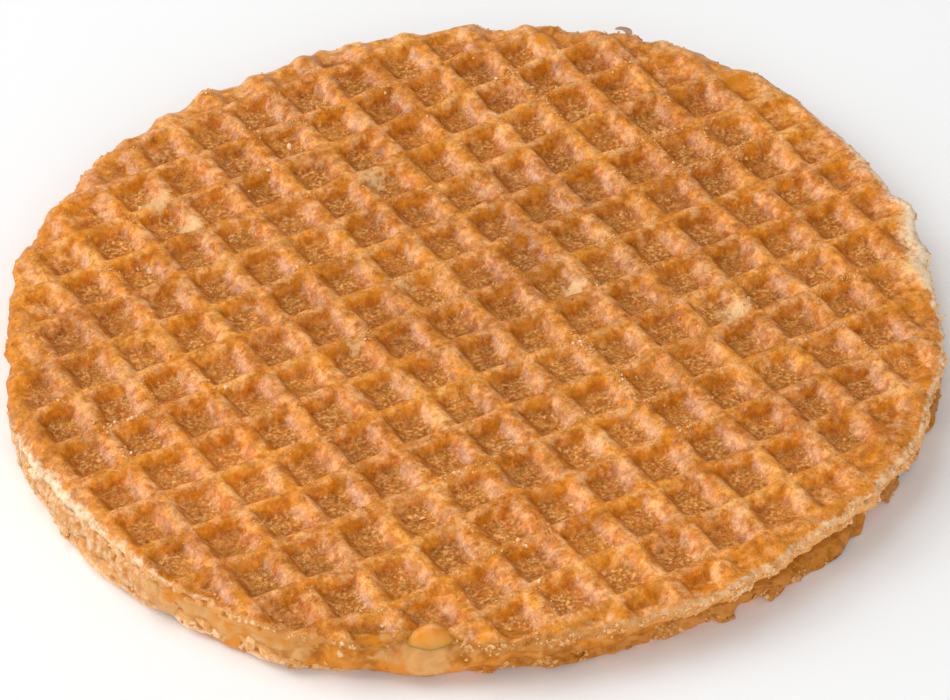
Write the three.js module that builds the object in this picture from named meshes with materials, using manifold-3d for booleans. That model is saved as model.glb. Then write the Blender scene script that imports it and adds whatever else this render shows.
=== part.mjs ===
// A caramel waffle biscuit: two thin wafers with a layer of syrup between them.
// Millimetres, +Z up. The lower wafer's ridges stand on z = 0, and the origin is
// the middle of the bounding box at that height.

import * as THREE from 'three';
import { mergeGeometries, mergeVertices } from 'three/addons/utils/BufferGeometryUtils.js';
import Module from 'manifold-3d';

const wasm = await Module();
wasm.setup();

// ---- Driving dimensions ----

const MEAN_RADIUS = 48.0;
const PITCH = 5.85; // from one ridge of the iron's grid to the next, both ways
const WAFER = 2.3; // one wafer, from its inner face to its ridge crests
const SYRUP = 0.7;
const GAP = 0.25; // clearance between two layers

const CREST = 0.85; // flat top of a ridge
const SHOULDER = 0.3; // height and run over which a ridge's edge is rounded off
const POCKET_DEPTH = 1.3;
const POCKET_FLOOR = 3.3; // side of a pocket's square floor
const UNEVEN = 0.1; // how much one pocket differs from the next, in any of its sizes
const PROUD = 0.2; // a cutting solid stands this far over the crests

const TOP_CENTRE = { x: 0.4, y: -0.15 };
const SYRUP_CENTRE = { x: -0.15, y: 0.45 };
const BOTTOM_CENTRE = { x: -0.65, y: 1.0 };
const TOP_GRID = { x: 0.95, y: 2.25 }; // a crossing of two ridges
const BOTTOM_GRID = { x: 0, y: 1.2 };

const SYRUP_FLOOR = WAFER + GAP;
const TOP_FACE = SYRUP_FLOOR + SYRUP + GAP;

// The rim is cut a little oval: lobes round it, their height, and where they peak.
const LOBES = [
  { count: 2, height: 1.5, heading: 46 },
  { count: 4, height: 0.65, heading: 38 },
];

// Places where a rim stands out or falls short: heading, height, half width in degrees.
const TOP_DENTS = [
  { heading: 24, height: 0.8, spread: 9 },
  { heading: 68, height: 0.9, spread: 14 },
  { heading: 105, height: 0.4, spread: 14 },
  { heading: 138, height: 0.5, spread: 9 },
  { heading: 172, height: 1.3, spread: 13 },
  { heading: -125, height: -2.4, spread: 3 },
  { heading: -94, height: 1.0, spread: 9 },
  { heading: -62, height: 0.4, spread: 16 },
  { heading: -24, height: -0.35, spread: 5 },
  { heading: -12, height: 1.0, spread: 4 },
];
const BOTTOM_DENTS = [
  { heading: -38, height: 1.4, spread: 12 },
  { heading: -80, height: 1.1, spread: 24 },
  { heading: 62, height: 0.4, spread: 12 },
  { heading: -146, height: -0.4, spread: 22 },
  { heading: 148, height: -1.7, spread: 17 },
];
const SYRUP_DENTS = [
  { heading: -124, height: 1.6, spread: 14 },
  { heading: -152, height: 1.3, spread: 10 },
  { heading: 25, height: 0.9, spread: 8 },
];
const CRUMB_NOISE = 0.28; // roughness of the cut rims
const SYRUP_NOISE = 0.15;

// The rims' side profiles, upwards: how far outside the rim line, and the height in the layer.
const TOP_RIM = [[-0.4, 0], [0.05, 0.5], [0, 1.6], [-0.8, 2.1], [-3.0, WAFER]];
const BOTTOM_RIM = [[-0.6, 0], [0, 0.9], [0.05, 1.8], [-0.35, WAFER]];
const SYRUP_RIM = [[-1.4, 0], [-1.1, SYRUP / 2], [-1.4, SYRUP]];
const RIM_STEPS = 90;

// The slope on which the upper wafer's outermost pockets close, inside the rim line.
const CLOSING = [[-2.6, 0.5], [-2.2, 1.0], [-1.1, 1.95], [-0.3, WAFER + 2]];

// A pocket is pressed where its middle lies this far inside the rim line, or outside it underneath.
const TOP_MARGIN = -0.6;
const BOTTOM_MARGIN = 1.75;

// Where each layer's run of drawn numbers starts.
const SEEDS = { topPockets: 11, bottomPockets: 51, topRim: 3, syrupRim: 29, bottomRim: 71 };

// The drop of syrup that has run out over the front of the upper wafer's rim.
const DROP = { heading: -125, out: 47.9, height: 4.3, along: 2.9, across: 1.4, tall: 1.6 };
const DROP_CLEARANCE = 0.3;

// The warm wafer was pulled about when it was cut: how far its grid is dragged there.
const DRAGS = [
  { x: 33, y: 25, reach: 15, dx: -0.5, dy: 1.7 },
  { x: -27, y: -35, reach: 10, dx: -0.6, dy: -1.5 },
  { x: -39, y: 21, reach: 12, dx: 0.7, dy: 0.5 },
];
// And how far it is lifted or pressed down.
const LIFTS = [
  { x: 30, y: 28, reach: 17, dz: 0.5 },
  { x: -30, y: -31, reach: 14, dz: -0.35 },
  { x: 8, y: -5, reach: 20, dz: -0.2 },
];

const radians = (degrees) => (degrees * Math.PI) / 180;

// A number from 0 to 1 that is always the same for the same three whole numbers.
function draw(i, j, k) {
  const wave = Math.sin(i * 127.1 + j * 311.7 + k * 74.7) * 43758.5453;
  return wave - Math.floor(wave);
}

// The same from -1 to 1.
const sway = (i, j, k) => 2 * draw(i, j, k) - 1;

function turnBetween(angle, heading) {
  const turn = (angle - radians(heading)) / (2 * Math.PI);
  return (turn - Math.round(turn)) * 360;
}

// The rim line: the distance from a layer's centre to its edge, in a direction.
function rimRadius(angle, dents) {
  let radius = MEAN_RADIUS;
  for (const { count, height, heading } of LOBES) {
    radius += height * Math.cos(count * (angle - radians(heading)));
  }
  for (const { heading, height, spread } of dents) {
    radius += height * Math.exp(-((turnBetween(angle, heading) / spread) ** 2));
  }
  return radius;
}

function fade(x, y, { x: cx, y: cy, reach }) {
  return Math.exp(-((x - cx) ** 2 + (y - cy) ** 2) / reach ** 2);
}

// ---- Solids ----

// A closed mesh with shared vertices and no triangle that has shrunk to a line.
function weld(geometry) {
  geometry.deleteAttribute('normal');
  geometry.deleteAttribute('uv');
  const merged = mergeVertices(geometry, 1e-4);
  const { array } = merged.index;
  const kept = [];
  for (let t = 0; t < array.length; t += 3) {
    const [a, b, c] = [array[t], array[t + 1], array[t + 2]];
    if (a !== b && b !== c && c !== a) kept.push(a, b, c);
  }
  merged.setIndex(kept);
  return merged;
}

function toSolid(geometry) {
  return new wasm.Manifold(new wasm.Mesh({
    numProp: 3,
    vertProperties: new Float32Array(geometry.attributes.position.array),
    triVerts: new Uint32Array(geometry.index.array),
  }));
}

function toGeometry(solid) {
  const mesh = solid.getMesh();
  const geometry = new THREE.BufferGeometry();
  geometry.setAttribute('position', new THREE.BufferAttribute(mesh.vertProperties, 3));
  geometry.setIndex(new THREE.BufferAttribute(mesh.triVerts, 1));
  return geometry;
}

function moveEach(geometry, move) {
  const { position } = geometry.attributes;
  const point = new THREE.Vector3();
  for (let n = 0; n < position.count; n += 1) {
    point.fromBufferAttribute(position, n);
    move(point);
    position.setXYZ(n, point.x, point.y, point.z);
  }
  return geometry;
}

// One layer: a lathe whose edge then follows the rim line, with crumb-sized roughness.
function layer(rim, centre, dents, noise, seed) {
  const profile = [
    new THREE.Vector2(0, rim[0][1]),
    ...rim.map(([out, height]) => new THREE.Vector2(MEAN_RADIUS + out, height)),
    new THREE.Vector2(0, rim.at(-1)[1]),
  ];
  const round = weld(new THREE.LatheGeometry(profile, RIM_STEPS).rotateX(Math.PI / 2));
  return moveEach(round, (point) => {
    const radius = Math.hypot(point.x, point.y);
    if (radius > 1) {
      const angle = Math.atan2(point.y, point.x);
      const step = Math.round((angle / (2 * Math.PI)) * RIM_STEPS + RIM_STEPS) % RIM_STEPS;
      const rough = noise * sway(step, Math.round(point.z * 10), seed);
      const moved = radius - MEAN_RADIUS + rimRadius(angle, dents) + rough;
      point.x *= moved / radius;
      point.y *= moved / radius;
    }
    point.x += centre.x;
    point.y += centre.y;
  });
}

// A square pocket sunk from z = 0, given as [half width, height] pairs from its floor upwards.
// It stands a little proud, so that it cuts the crests clean.
function pocketAt(levels) {
  const pocket = new THREE.BoxGeometry(1, 1, 1, 1, 1, levels.length - 1);
  return moveEach(pocket, (corner) => {
    const [half, height] = levels[Math.round((corner.z + 0.5) * (levels.length - 1))];
    corner.set(Math.sign(corner.x) * half, Math.sign(corner.y) * half, height);
  });
}

// A pocket of the upper wafer has rounded shoulders; one underneath has straight sides.
function pocketLevels(facing, depth, crest) {
  const mouth = (PITCH - crest) / 2;
  const floor = [POCKET_FLOOR / 2, -depth];
  const rim = [[mouth, 0], [mouth, PROUD]];
  return facing === 'up' ? [floor, [mouth - SHOULDER, -SHOULDER], ...rim] : [floor, ...rim];
}

// All pockets of one face, no two quite alike, facing up or down. keep says which are pressed.
function pocketField(grid, seed, facing, keep) {
  const reach = Math.ceil(MEAN_RADIUS / PITCH) + 1;
  const pockets = [];
  for (let i = -reach; i < reach; i += 1) {
    for (let j = -reach; j < reach; j += 1) {
      const x = grid.x + (i + 0.5) * PITCH;
      const y = grid.y + (j + 0.5) * PITCH;
      if (!keep(x, y)) continue;
      const depth = POCKET_DEPTH + UNEVEN * sway(i, j, seed);
      const crest = CREST + UNEVEN * sway(i, j, seed + 1);
      const pocket = pocketAt(pocketLevels(facing, depth, crest));
      if (facing === 'down') pocket.rotateX(Math.PI);
      pocket.translate(x + UNEVEN * sway(i, j, seed + 2), y + UNEVEN * sway(i, j, seed + 3), 0);
      pockets.push(pocket);
    }
  }
  return mergeGeometries(pockets);
}

function dragged(point) {
  let { x, y } = point;
  for (const drag of DRAGS) {
    const share = fade(point.x, point.y, drag);
    x += drag.dx * share;
    y += drag.dy * share;
  }
  point.x = x;
  point.y = y;
}

const insideRim = (centre, dents, margin) => (x, y) => {
  const dx = x - centre.x;
  const dy = y - centre.y;
  return Math.hypot(dx, dy) < rimRadius(Math.atan2(dy, dx), dents) + margin;
};

function syrupDrop(growth) {
  const { heading, out, height, along, across, tall } = DROP;
  const drop = new THREE.SphereGeometry(1, 14, 10);
  drop.rotateX(Math.PI / 2);
  drop.scale(across + growth, along + growth, tall + growth);
  drop.rotateZ(radians(heading));
  drop.translate(
    TOP_CENTRE.x + out * Math.cos(radians(heading)),
    TOP_CENTRE.y + out * Math.sin(radians(heading)),
    height,
  );
  return toSolid(weld(drop));
}

function upperWafer() {
  const pressed = insideRim(TOP_CENTRE, TOP_DENTS, TOP_MARGIN);
  const pockets = pocketField(TOP_GRID, SEEDS.topPockets, 'up', pressed);
  moveEach(pockets, dragged).translate(0, 0, WAFER);
  const field = toSolid(layer(CLOSING, TOP_CENTRE, TOP_DENTS, 0, 0));
  const cuts = toSolid(weld(pockets)).intersect(field);
  const slab = toSolid(layer(TOP_RIM, TOP_CENTRE, TOP_DENTS, CRUMB_NOISE, SEEDS.topRim));
  const wafer = moveEach(toGeometry(slab.subtract(cuts)), (point) => {
    const share = point.z / WAFER;
    for (const lift of LIFTS) point.z += lift.dz * share * fade(point.x, point.y, lift);
    point.z += TOP_FACE;
  });
  return toGeometry(toSolid(wafer).subtract(syrupDrop(DROP_CLEARANCE)));
}

function syrupLayer() {
  const spread = layer(SYRUP_RIM, SYRUP_CENTRE, SYRUP_DENTS, SYRUP_NOISE, SEEDS.syrupRim);
  return toGeometry(toSolid(spread.translate(0, 0, SYRUP_FLOOR)).add(syrupDrop(0)));
}

function lowerWafer() {
  const pressed = insideRim(BOTTOM_CENTRE, BOTTOM_DENTS, BOTTOM_MARGIN);
  const pockets = pocketField(BOTTOM_GRID, SEEDS.bottomPockets, 'down', pressed);
  const slab = layer(BOTTOM_RIM, BOTTOM_CENTRE, BOTTOM_DENTS, CRUMB_NOISE, SEEDS.bottomRim);
  return toGeometry(toSolid(slab).subtract(toSolid(weld(pockets))));
}

// ---- The biscuit ----

const browned = { color: 0xc97a35, roughness: 0.55, metalness: 0 };
const amber = { color: 0xc98a2b, roughness: 0.25, metalness: 0 };

function piece(name, geometry, look) {
  const mesh = new THREE.Mesh(geometry, new THREE.MeshStandardMaterial(look));
  geometry.computeVertexNormals();
  mesh.name = name;
  return mesh;
}

const biscuit = new THREE.Group();
biscuit.add(piece('wafer_bottom', lowerWafer(), browned));
biscuit.add(piece('syrup', syrupLayer(), amber));
biscuit.add(piece('wafer_top', upperWafer(), browned));

export default biscuit;
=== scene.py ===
"""A caramel waffle biscuit: two thin wafers pressed with a grid of pockets, and syrup between them.

Sizes inside the shaping functions are millimetres; every mesh is written in metres.
"""

from dataclasses import dataclass

import bmesh
import bpy
import numpy as np
from bpy.props import FloatProperty, FloatVectorProperty, IntProperty, PointerProperty
from bpy.types import Operator, Panel, PropertyGroup
from mathutils import Euler, Matrix, Vector


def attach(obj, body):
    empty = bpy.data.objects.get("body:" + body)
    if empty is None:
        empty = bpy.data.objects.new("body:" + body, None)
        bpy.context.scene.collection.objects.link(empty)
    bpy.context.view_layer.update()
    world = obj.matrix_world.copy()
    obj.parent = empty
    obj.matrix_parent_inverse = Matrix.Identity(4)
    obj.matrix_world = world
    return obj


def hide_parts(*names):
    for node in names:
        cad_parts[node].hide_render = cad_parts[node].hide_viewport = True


bl_info = {
    "name": "Caramel Waffle Biscuit",
    "version": (1, 0, 0),
    "blender": (4, 5, 0),
    "location": "3D View > Sidebar > Biscuit",
    "description": "Builds a syrup-filled waffle biscuit with its crumbs, finishes and stage",
    "category": "Add Mesh",
}

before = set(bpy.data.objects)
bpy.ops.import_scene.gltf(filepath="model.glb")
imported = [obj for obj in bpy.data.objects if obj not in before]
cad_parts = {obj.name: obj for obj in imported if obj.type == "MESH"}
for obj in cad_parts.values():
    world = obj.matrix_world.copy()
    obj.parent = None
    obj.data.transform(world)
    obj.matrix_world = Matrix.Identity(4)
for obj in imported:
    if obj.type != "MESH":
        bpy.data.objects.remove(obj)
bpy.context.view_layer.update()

MM = 0.001
BODY = "root"

# ---- The biscuit's lie, the same as in its solids (mm and degrees) ----

MEAN_RADIUS = 48.0
WIDEST = 52.0  # no rim line reaches further out
PITCH = 5.85  # from one ridge of the grid to the next
GAP = 0.25  # clearance between two layers' solids
UNEVEN = 0.1  # how much one pocket differs from the next
WANDER = 0.22  # how far a ridge wanders off its line between two crossings
RAG = 0.14  # how ragged a rim line is everywhere
RIDGE_ENDS = 0.2  # how far a ridge's end stands out of the rim line, and a pocket's falls back
LOBES = ((2, 1.5, 46), (4, 0.65, 38))  # of every rim line: how many, their height and their heading

# How the pressed skin droops at a rim: the share of the whole droop, by distance inside the rim line.
DROOP = ((0.0, 1.0), (0.4, 0.6), (1.0, 0.28), (1.8, 0.1), (3.2, 0.0))
# How far a cut rim leans out of its line, by the share of the way down from the face to the inside.
RIM_LEAN = ((0.0, 0.0), (0.35, 0.06), (0.7, 0.0), (1.0, -0.4))
# Where the upper wafer was lifted: x, y, reach and rise.
LIFTS = ((30, 28, 17, 0.5), (-30, -31, 14, -0.35), (8, -5, 20, -0.2))

# The drop of syrup over the front rim: heading, distance out, height, and its three half sizes.
DROP_HEADING = -125.0
DROP_OUT = 47.7
DROP_HEIGHT = 4.3
DROP_HALVES = (1.2, 3.3, 1.5)

# Places round the rims: heading, how much there is of the thing, and spread.
# Where the skin is paler along the rim, and where it is a richer orange.
BRIMS = ((95, 0.9, 32), (50, 0.8, 34), (-60, 0.25, 40))
RINDS = ((158, 1.0, 32), (-72, 0.5, 34))
# Where the gap is full out to the rim and over it, and where crumb soaked with syrup fills it.
OOZE = ((-122, 1.0, 20), (-147, 0.9, 12), (-100, 0.5, 10), (24, 0.5, 12), (174, 0.85, 20), (-165, 0.6, 12))
SOAKED = ((-178, 1.0, 28), (24, 0.6, 20))
# Where it is cloudy dough, where it swells further up and down, and where it hangs out at mid height.
DOUGHY = ((-148, 1.0, 11), (-125, 0.9, 4.5))
SWELLS = ((-148, 0.6, 10), (-124, 0.3, 10))
BULGES = ((-125, 1.25, 5.0),)
# Where the cut rim is tidy and holds few crumbs.
TIDY = ((-12, 0.95, 16), (160, 0.6, 20))

# Where crumbs lie thickest: x, y, reach and how much thicker.
CRUMBY_SPOTS = ((8, -14, 14, 1.0), (28, -4, 12, 0.8), (2, 12, 12, 0.6), (-38, 2, 8, 0.5))


def draw(i, j, k):
    """A number from 0 to 1 that is always the same for the same three whole numbers."""
    wave = np.sin(i * 127.1 + j * 311.7 + k * 74.7) * 43758.5453
    return wave - np.floor(wave)


def sway(i, j, k):
    """The same from -1 to 1."""
    return 2.0 * draw(i, j, k) - 1.0


def eased(share):
    """Turns a straight run from 0 to 1 into one that starts and ends softly."""
    share = np.clip(share, 0.0, 1.0)
    return share * share * (3.0 - 2.0 * share)


def swell(x, y, z, size, seed):
    """Smooth random rise and fall from -1 to 1, with bumps about size across. Over a flat face z is 0."""
    places = [np.asarray(value) / size for value in (x, y, z)]
    corners = [np.floor(place) for place in places]
    shares = [eased(place - corner) for place, corner in zip(places, corners)]
    total = 0.0
    for step in range(8):
        offset = (step & 1, (step >> 1) & 1, step >> 2)
        weight = 1.0
        for share, far in zip(shares, offset):
            weight = weight * (share if far else 1.0 - share)
        i, j, k = (corner + far for corner, far in zip(corners, offset))
        total = total + weight * sway(i + 57.0 * k, j - 23.0 * k, seed)
    return total


def fade(x, y, spot):
    """1 at a spot, falling to nothing beyond its reach. A spot starts with x, y, reach."""
    return np.exp(-((x - spot[0]) ** 2 + (y - spot[1]) ** 2) / spot[2] ** 2)


def limited(value):
    return np.clip(value, 0.0, 1.0)


def by_heading(angle, places):
    """The sum of soft peaks round a rim. A place is its heading, its height and its spread."""
    total = np.zeros_like(angle)
    for heading, height, spread in places:
        turn = np.degrees(angle) - heading
        turn -= 360.0 * np.round(turn / 360.0)
        total += height * np.exp(-((turn / spread) ** 2))
    return total


def share_by_heading(angle, places):
    return limited(by_heading(angle, places))


@dataclass
class Layer:
    """One wafer or the syrup: its rim line, and what differs from place to place.

    A place on the rim is its heading, how much more or less there is of the thing, and its spread. A spot on
    the face is its x, y and reach, and how much there is of it.
    """

    centre: tuple
    seed: int  # where its random draws start
    dents: tuple  # places where the rim line stands out or in
    rags: tuple = ()  # places where it is more ragged
    grid: tuple = None  # a crossing of two ridges
    droop: float = 0.0  # how far the skin droops at the rim
    droops: tuple = ()
    band: float = 0.0  # how wide the band is where pockets are pressed shallower towards the rim
    bands: tuple = ()
    notch: float = 0.0  # how much of their depth is left at the rim line
    notches: tuple = ()
    edge: float = 0.0  # how wide the pale edge of the skin is
    edges: tuple = ()
    pale: float = 0.0  # how pale the cut crumb is
    pales: tuple = ()
    glazes: tuple = ()  # places where the cut crumb is glazed with syrup
    tears: tuple = ()  # places where it is torn deeper
    wraps: tuple = ()  # places where the skin is drawn down over it
    drags: tuple = ()  # where the warm wafer was pulled about: x, y, reach, and the move in x and y
    bares: tuple = ()  # spots where the skin is less baked or rubbed off
    ambers: tuple = ()  # spots where syrup has run over the skin
    shades: tuple = ()  # spots where the skin is made lighter, or darker below 0

    def polar(self, x, y):
        dx = x - self.centre[0]
        dy = y - self.centre[1]
        return np.hypot(dx, dy), np.arctan2(dy, dx)

    def rim(self, angle):
        """Distance from the layer's centre to its edge, in a direction."""
        radius = MEAN_RADIUS + by_heading(angle, self.dents)
        for count, height, heading in LOBES:
            radius += height * np.cos(count * (angle - np.radians(heading)))
        x, y = MEAN_RADIUS * np.cos(angle), MEAN_RADIUS * np.sin(angle)
        rag = RAG * swell(x, y, 0, 2.6, self.seed + 30)
        rag = rag + 0.6 * RAG * swell(x, y, 0, 1.1, self.seed + 31)
        return radius + rag * (1.0 + by_heading(angle, self.rags)) + self.ridge_ends(radius, angle)

    def ridge_ends(self, radius, angle):
        """How far the rim stands out where a ridge runs into it."""
        if self.grid is None:
            return 0.0
        turns_x = (self.centre[0] + radius * np.cos(angle) - self.grid[0]) / PITCH
        turns_y = (self.centre[1] + radius * np.sin(angle) - self.grid[1]) / PITCH
        on_ridge = np.maximum(np.cos(2.0 * np.pi * turns_x), np.cos(2.0 * np.pi * turns_y))
        return RIDGE_ENDS * (on_ridge - 0.4)

    def inside(self, x, y):
        """How far inside the rim line a point lies, and in what direction it lies from the centre."""
        radius, angle = self.polar(x, y)
        return self.rim(angle) - radius, angle


UPPER = Layer(
    centre=(0.4, -0.15),
    seed=11,
    dents=(
        (24, 0.8, 9), (68, 0.9, 14), (105, 0.4, 14), (138, 0.5, 9), (172, 1.3, 13), (-126, -2.5, 3.8),
        (-94, 1.0, 9), (-62, 0.4, 16), (-24, -0.35, 5), (-15.5, 0.5, 3), (-10.5, 0.9, 2.2), (41, 0.7, 2.0),
        (36, 0.4, 2.2), (80, 0.9, 5), (97, 0.8, 4),
    ),
    rags=((68, 1.6, 40), (115, 1.0, 30), (-25, 1.0, 12), (-75, 2.2, 34)),
    grid=(0.95, 2.25),
    droop=0.65,
    droops=((176, 0.5, 15), (-130, 0.1, 24), (-66, -0.35, 24), (-10, -0.4, 4), (75, 0.2, 50)),
    band=2.5,
    bands=(
        (128, 5.5, 34), (75, 2.0, 14), (35, 6.0, 22), (5, 3.0, 18), (-22, 2.0, 14), (-64, 4.5, 24),
        (-130, -0.9, 30),
    ),
    notch=0.3,
    notches=((128, 0.1, 30), (-64, -0.1, 24), (-128, 0.25, 22)),
    edge=0.45,
    edges=(
        (180, 0.6, 9), (-165, 0.2, 9), (-128, -0.2, 26), (-17, 2.4, 7), (-75, 0.2, 30), (60, 0.1, 40),
        (3, 0.7, 6), (140, -0.3, 18),
    ),
    pale=0.65,
    # At -75 the crumb is kept more toasted, partly a painted warm glow of the rim that faces away from the
    # key light.
    pales=((176, 0.3, 14), (-150, -0.3, 16), (-75, -0.22, 34), (-124, -0.6, 20), (-15, 0.7, 14)),
    glazes=((-122, 0.95, 22), (25, 0.6, 14)),
    tears=((-75, 0.9, 30), (-15, 0.6, 14), (-176, 1.9, 24)),
    wraps=((152, 1.0, 17), (100, 0.5, 30)),
    drags=((33, 25, 15, -0.5, 1.7), (-27, -35, 10, -0.6, -1.5), (-39, 21, 12, 0.7, 0.5)),
    bares=(
        (2.8, 24.7, 2.0, 0.7), (-3.4, 7.5, 1.6, 0.6), (11.2, -1.6, 1.5, 0.9), (22.9, -13.3, 2.2, 0.75),
        (-12.6, 1.3, 1.1, 0.7), (-17.3, 27.3, 1.6, 0.9), (-18.6, 32.6, 2.0, 0.9), (42.4, -17.2, 1.7, 1.2),
        (41.7, -20.3, 1.1, 1.1), (44.6, -13.4, 1.0, 0.9), (46.6, 0.4, 1.2, 0.6), (-24.0, 24.0, 0.8, 0.6),
    ),
    ambers=((44.0, 18.9, 1.8, 1.0), (30.3, 35.6, 1.3, 1.0), (42.5, 21.5, 1.2, 0.7), (-14.5, 25.4, 0.9, 0.8)),
    shades=(
        (14.0, 3.0, 15.0, -0.11), (-30.0, -9.0, 14.0, 0.12), (-8.0, -38.0, 10.0, 0.1),
        (41.0, -3.0, 9.0, 0.06), (-25.0, 32.0, 9.0, 0.12),
    ),
)
LOWER = Layer(
    centre=(-0.65, 1.0),
    seed=51,
    dents=(
        (-38, 1.4, 12), (-80, 1.1, 24), (62, 0.4, 12), (-146, -0.4, 22), (148, -1.7, 17), (-139.5, 0.8, 3.5),
    ),
    rags=((-70, 3.0, 36), (170, 1.0, 30), (-125, 1.0, 20)),
    grid=(0.0, 1.2),
    droop=0.85,
    droops=((-70, -0.75, 34), (-22, -0.3, 20)),
    band=2.4,
    notch=0.1,
    notches=((-68, 0.95, 34), (35, 0.5, 30), (166, 0.4, 10), (-106, 0.4, 5)),
    edge=0.5,
    edges=((-70, -0.2, 30), (-168, 4.0, 28)),
    pale=0.15,
    pales=((180, 0.45, 26), (-143, 0.5, 13)),
    glazes=((-70, 1.0, 36), (-118, 0.9, 18), (-35, 0.6, 16), (30, 0.5, 30)),
    tears=((-176, 1.4, 24), (-75, 0.4, 30)),
)
FILLING = Layer(centre=(-0.15, 0.45), seed=29, dents=((-124, 1.6, 14), (-152, 1.3, 10), (25, 0.9, 8)))


# ---- What a user would change ----


def length(name, description, millimetres):
    return FloatProperty(
        name=name, description=description, default=millimetres * MM, min=0.0, unit="LENGTH", precision=5
    )


def linear(code):
    """The linear colour of a six-figure colour code."""
    values = [int(code[place : place + 2], 16) / 255.0 for place in (0, 2, 4)]
    return tuple(v / 12.92 if v <= 0.04045 else ((v + 0.055) / 1.055) ** 2.4 for v in values)


def colour(name, description, code):
    return FloatVectorProperty(
        name=name, description=description, default=linear(code), min=0.0, max=1.0, subtype="COLOR"
    )


class BiscuitSizes(PropertyGroup):
    pitch: length("Ridge pitch", "From one ridge of the grid to the next, both ways", PITCH)
    wafer: length("Wafer thickness", "One wafer, from its inner face to its ridge crests", 2.3)
    syrup: length("Syrup thickness", "The layer of syrup between the wafers", 0.7)
    crest: length("Crest width", "The flat top of a ridge", 0.3)
    run_x: length("Side wall run", "How far a pocket's side walls lean in, from mouth to floor", 1.6)
    run_y: length("End wall run", "How far a pocket's end walls lean in, from mouth to floor", 1.25)
    depth: length("Pocket depth", "From a ridge's crest to a pocket's floor", 1.25)
    crumb: length("Crumb roughness", "How rough the cut rims are", 0.28)
    relief: length("Skin relief", "How uneven the baked skin is", 0.1)


class BiscuitColours(PropertyGroup):
    crest: colour("Ridge", "The baked skin on the crests", "E08824")
    wall: colour("Wall", "The baked skin on the pockets' walls", "D87C14")
    floor: colour("Floor", "The baked skin on the pockets' floors", "BE6E28")
    blush: colour("Blush", "Redder, more baked patches", "BC5E16")
    straw: colour("Straw", "Yellower, less baked patches", "E69C3A")
    # Painted sheen: the key light's soft highlight on the pockets' flanks that face it, painted into the
    # colour.
    painted_sheen: colour("Bloom", "The paler, drier bloom on the flanks", "E4B08C")
    dry: colour("Dry", "Paler, drier grains and patches of the skin", "F6B67C")
    rich: colour("Rich", "Clear amber patches of the skin", "D8820E")
    # Deeper patches of the skin, and the painted shade of the flank facing away from the key light.
    deep_and_lee_shade: colour("Deep", "Darker, richer grains and patches of the skin", "BA6008")
    unbaked: colour("Unbaked", "Places where the skin is hardly browned", "F0C890")
    olive: colour("Olive", "The yellower brown of the floors", "C27E2C")
    # The deepest brown of the floors, and painted shade at the walls' feet.
    burnt_and_foot_shade: colour("Burnt", "The deepest brown of the walls' feet and the floors", "A4560E")
    grain: colour("Grain", "Pale grains in the baked skin", "E8B068")
    # Pale grain specks, and painted glints where they lie on the lit flank and the crests.
    speck_and_glint: colour("Spark", "The smallest, lightest grains on the skin", "FAC08A")
    cream: colour("Cut crumb", "The soft crumb on the cut rims", "FEE0BC")
    toast: colour("Toasted crumb", "The browned crumb on the cut rims", "E9A55C")
    crust: colour("Soaked crumb", "Crumb darkened by a little syrup", "D89A58")
    caramel: colour("Glaze", "Crumb that syrup has soaked", "B87214")
    syrup: colour("Syrup", "The caramel syrup", "B87016")
    honey: colour("Honey", "Thinner, yellower syrup", "DE8818")
    milk: colour("Milk", "Syrup clouded by crumb", "E0A868")
    bead: colour("Drop", "The clear yellow of the drop over the rim", "E89624")


def amount(name, description, default):
    return IntProperty(name=name, description=description, default=default, min=1, max=5000)


class BiscuitCrumbs(PropertyGroup):
    pale: amount("Pale crumbs", "How many pale crumbs lie on the upper wafer", 1500)
    golden: amount("Golden crumbs", "How many golden crumbs lie on the upper wafer", 1800)
    rim: amount("Rim crumbs", "How many crumbs cling to the rims", 700)
    chunks: amount("Chunks", "How many bigger crumbs lie on the upper wafer besides the placed ones", 26)


def power(name, description, watts):
    return FloatProperty(name=name, description=description, default=watts, unit="POWER")


class BiscuitStage(PropertyGroup):
    key: power("Key light", "Power of the soft light from the left", 2.9)
    top: power("Top light", "Power of the broad light overhead", 3.3)
    front: power("Front light", "Power of the soft light at the front", 2.75)
    fill: FloatProperty(name="Fill", description="Brightness of the even light from all round", default=0.38)
    floor: colour("Floor", "The plain floor", "FCFCFC")


# ---- Meshes ----


def new_mesh(name, bm):
    mesh = bpy.data.meshes.new(name)
    bm.to_mesh(mesh)
    bm.free()
    return mesh


def read_vectors(items, name):
    values = np.empty(len(items) * 3)
    items.foreach_get(name, values)
    return values.reshape(-1, 3)


def read_points(mesh):
    return read_vectors(mesh.vertices, "co")


def write_points(mesh, points):
    mesh.vertices.foreach_set("co", np.ascontiguousarray(points, dtype=np.float32).ravel())
    mesh.update()


def read_values(mesh, name):
    values = np.empty(len(mesh.vertices))
    mesh.attributes[name].data.foreach_get("value", values)
    return values


def write_values(mesh, name, values):
    attribute = mesh.attributes.get(name) or mesh.attributes.new(name, "FLOAT", "POINT")
    attribute.data.foreach_set("value", np.ascontiguousarray(values, dtype=np.float32))


def period_lines(sizes, run):
    """The mesh lines across one pocket, from ridge middle to ridge middle: closest on its walls."""
    crest_half = sizes.crest / MM / 2
    pitch = sizes.pitch / MM
    knots = (0.0, crest_half, crest_half + run, pitch - crest_half - run, pitch - crest_half, pitch)
    steps = (1, 5, 5, 5, 1)
    lines = []
    for start, end, count in zip(knots, knots[1:], steps):
        lines.extend(np.linspace(start, end, count, endpoint=False))
    return np.array(lines)


def grid_lines(sizes, origin, run):
    """All mesh lines across a wafer, in one direction."""
    pitch = sizes.pitch / MM
    reach = int(np.ceil(WIDEST / pitch)) + 1
    offsets = period_lines(sizes, run)
    return np.concatenate([origin + pitch * period + offsets for period in range(-reach, reach)])


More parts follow.
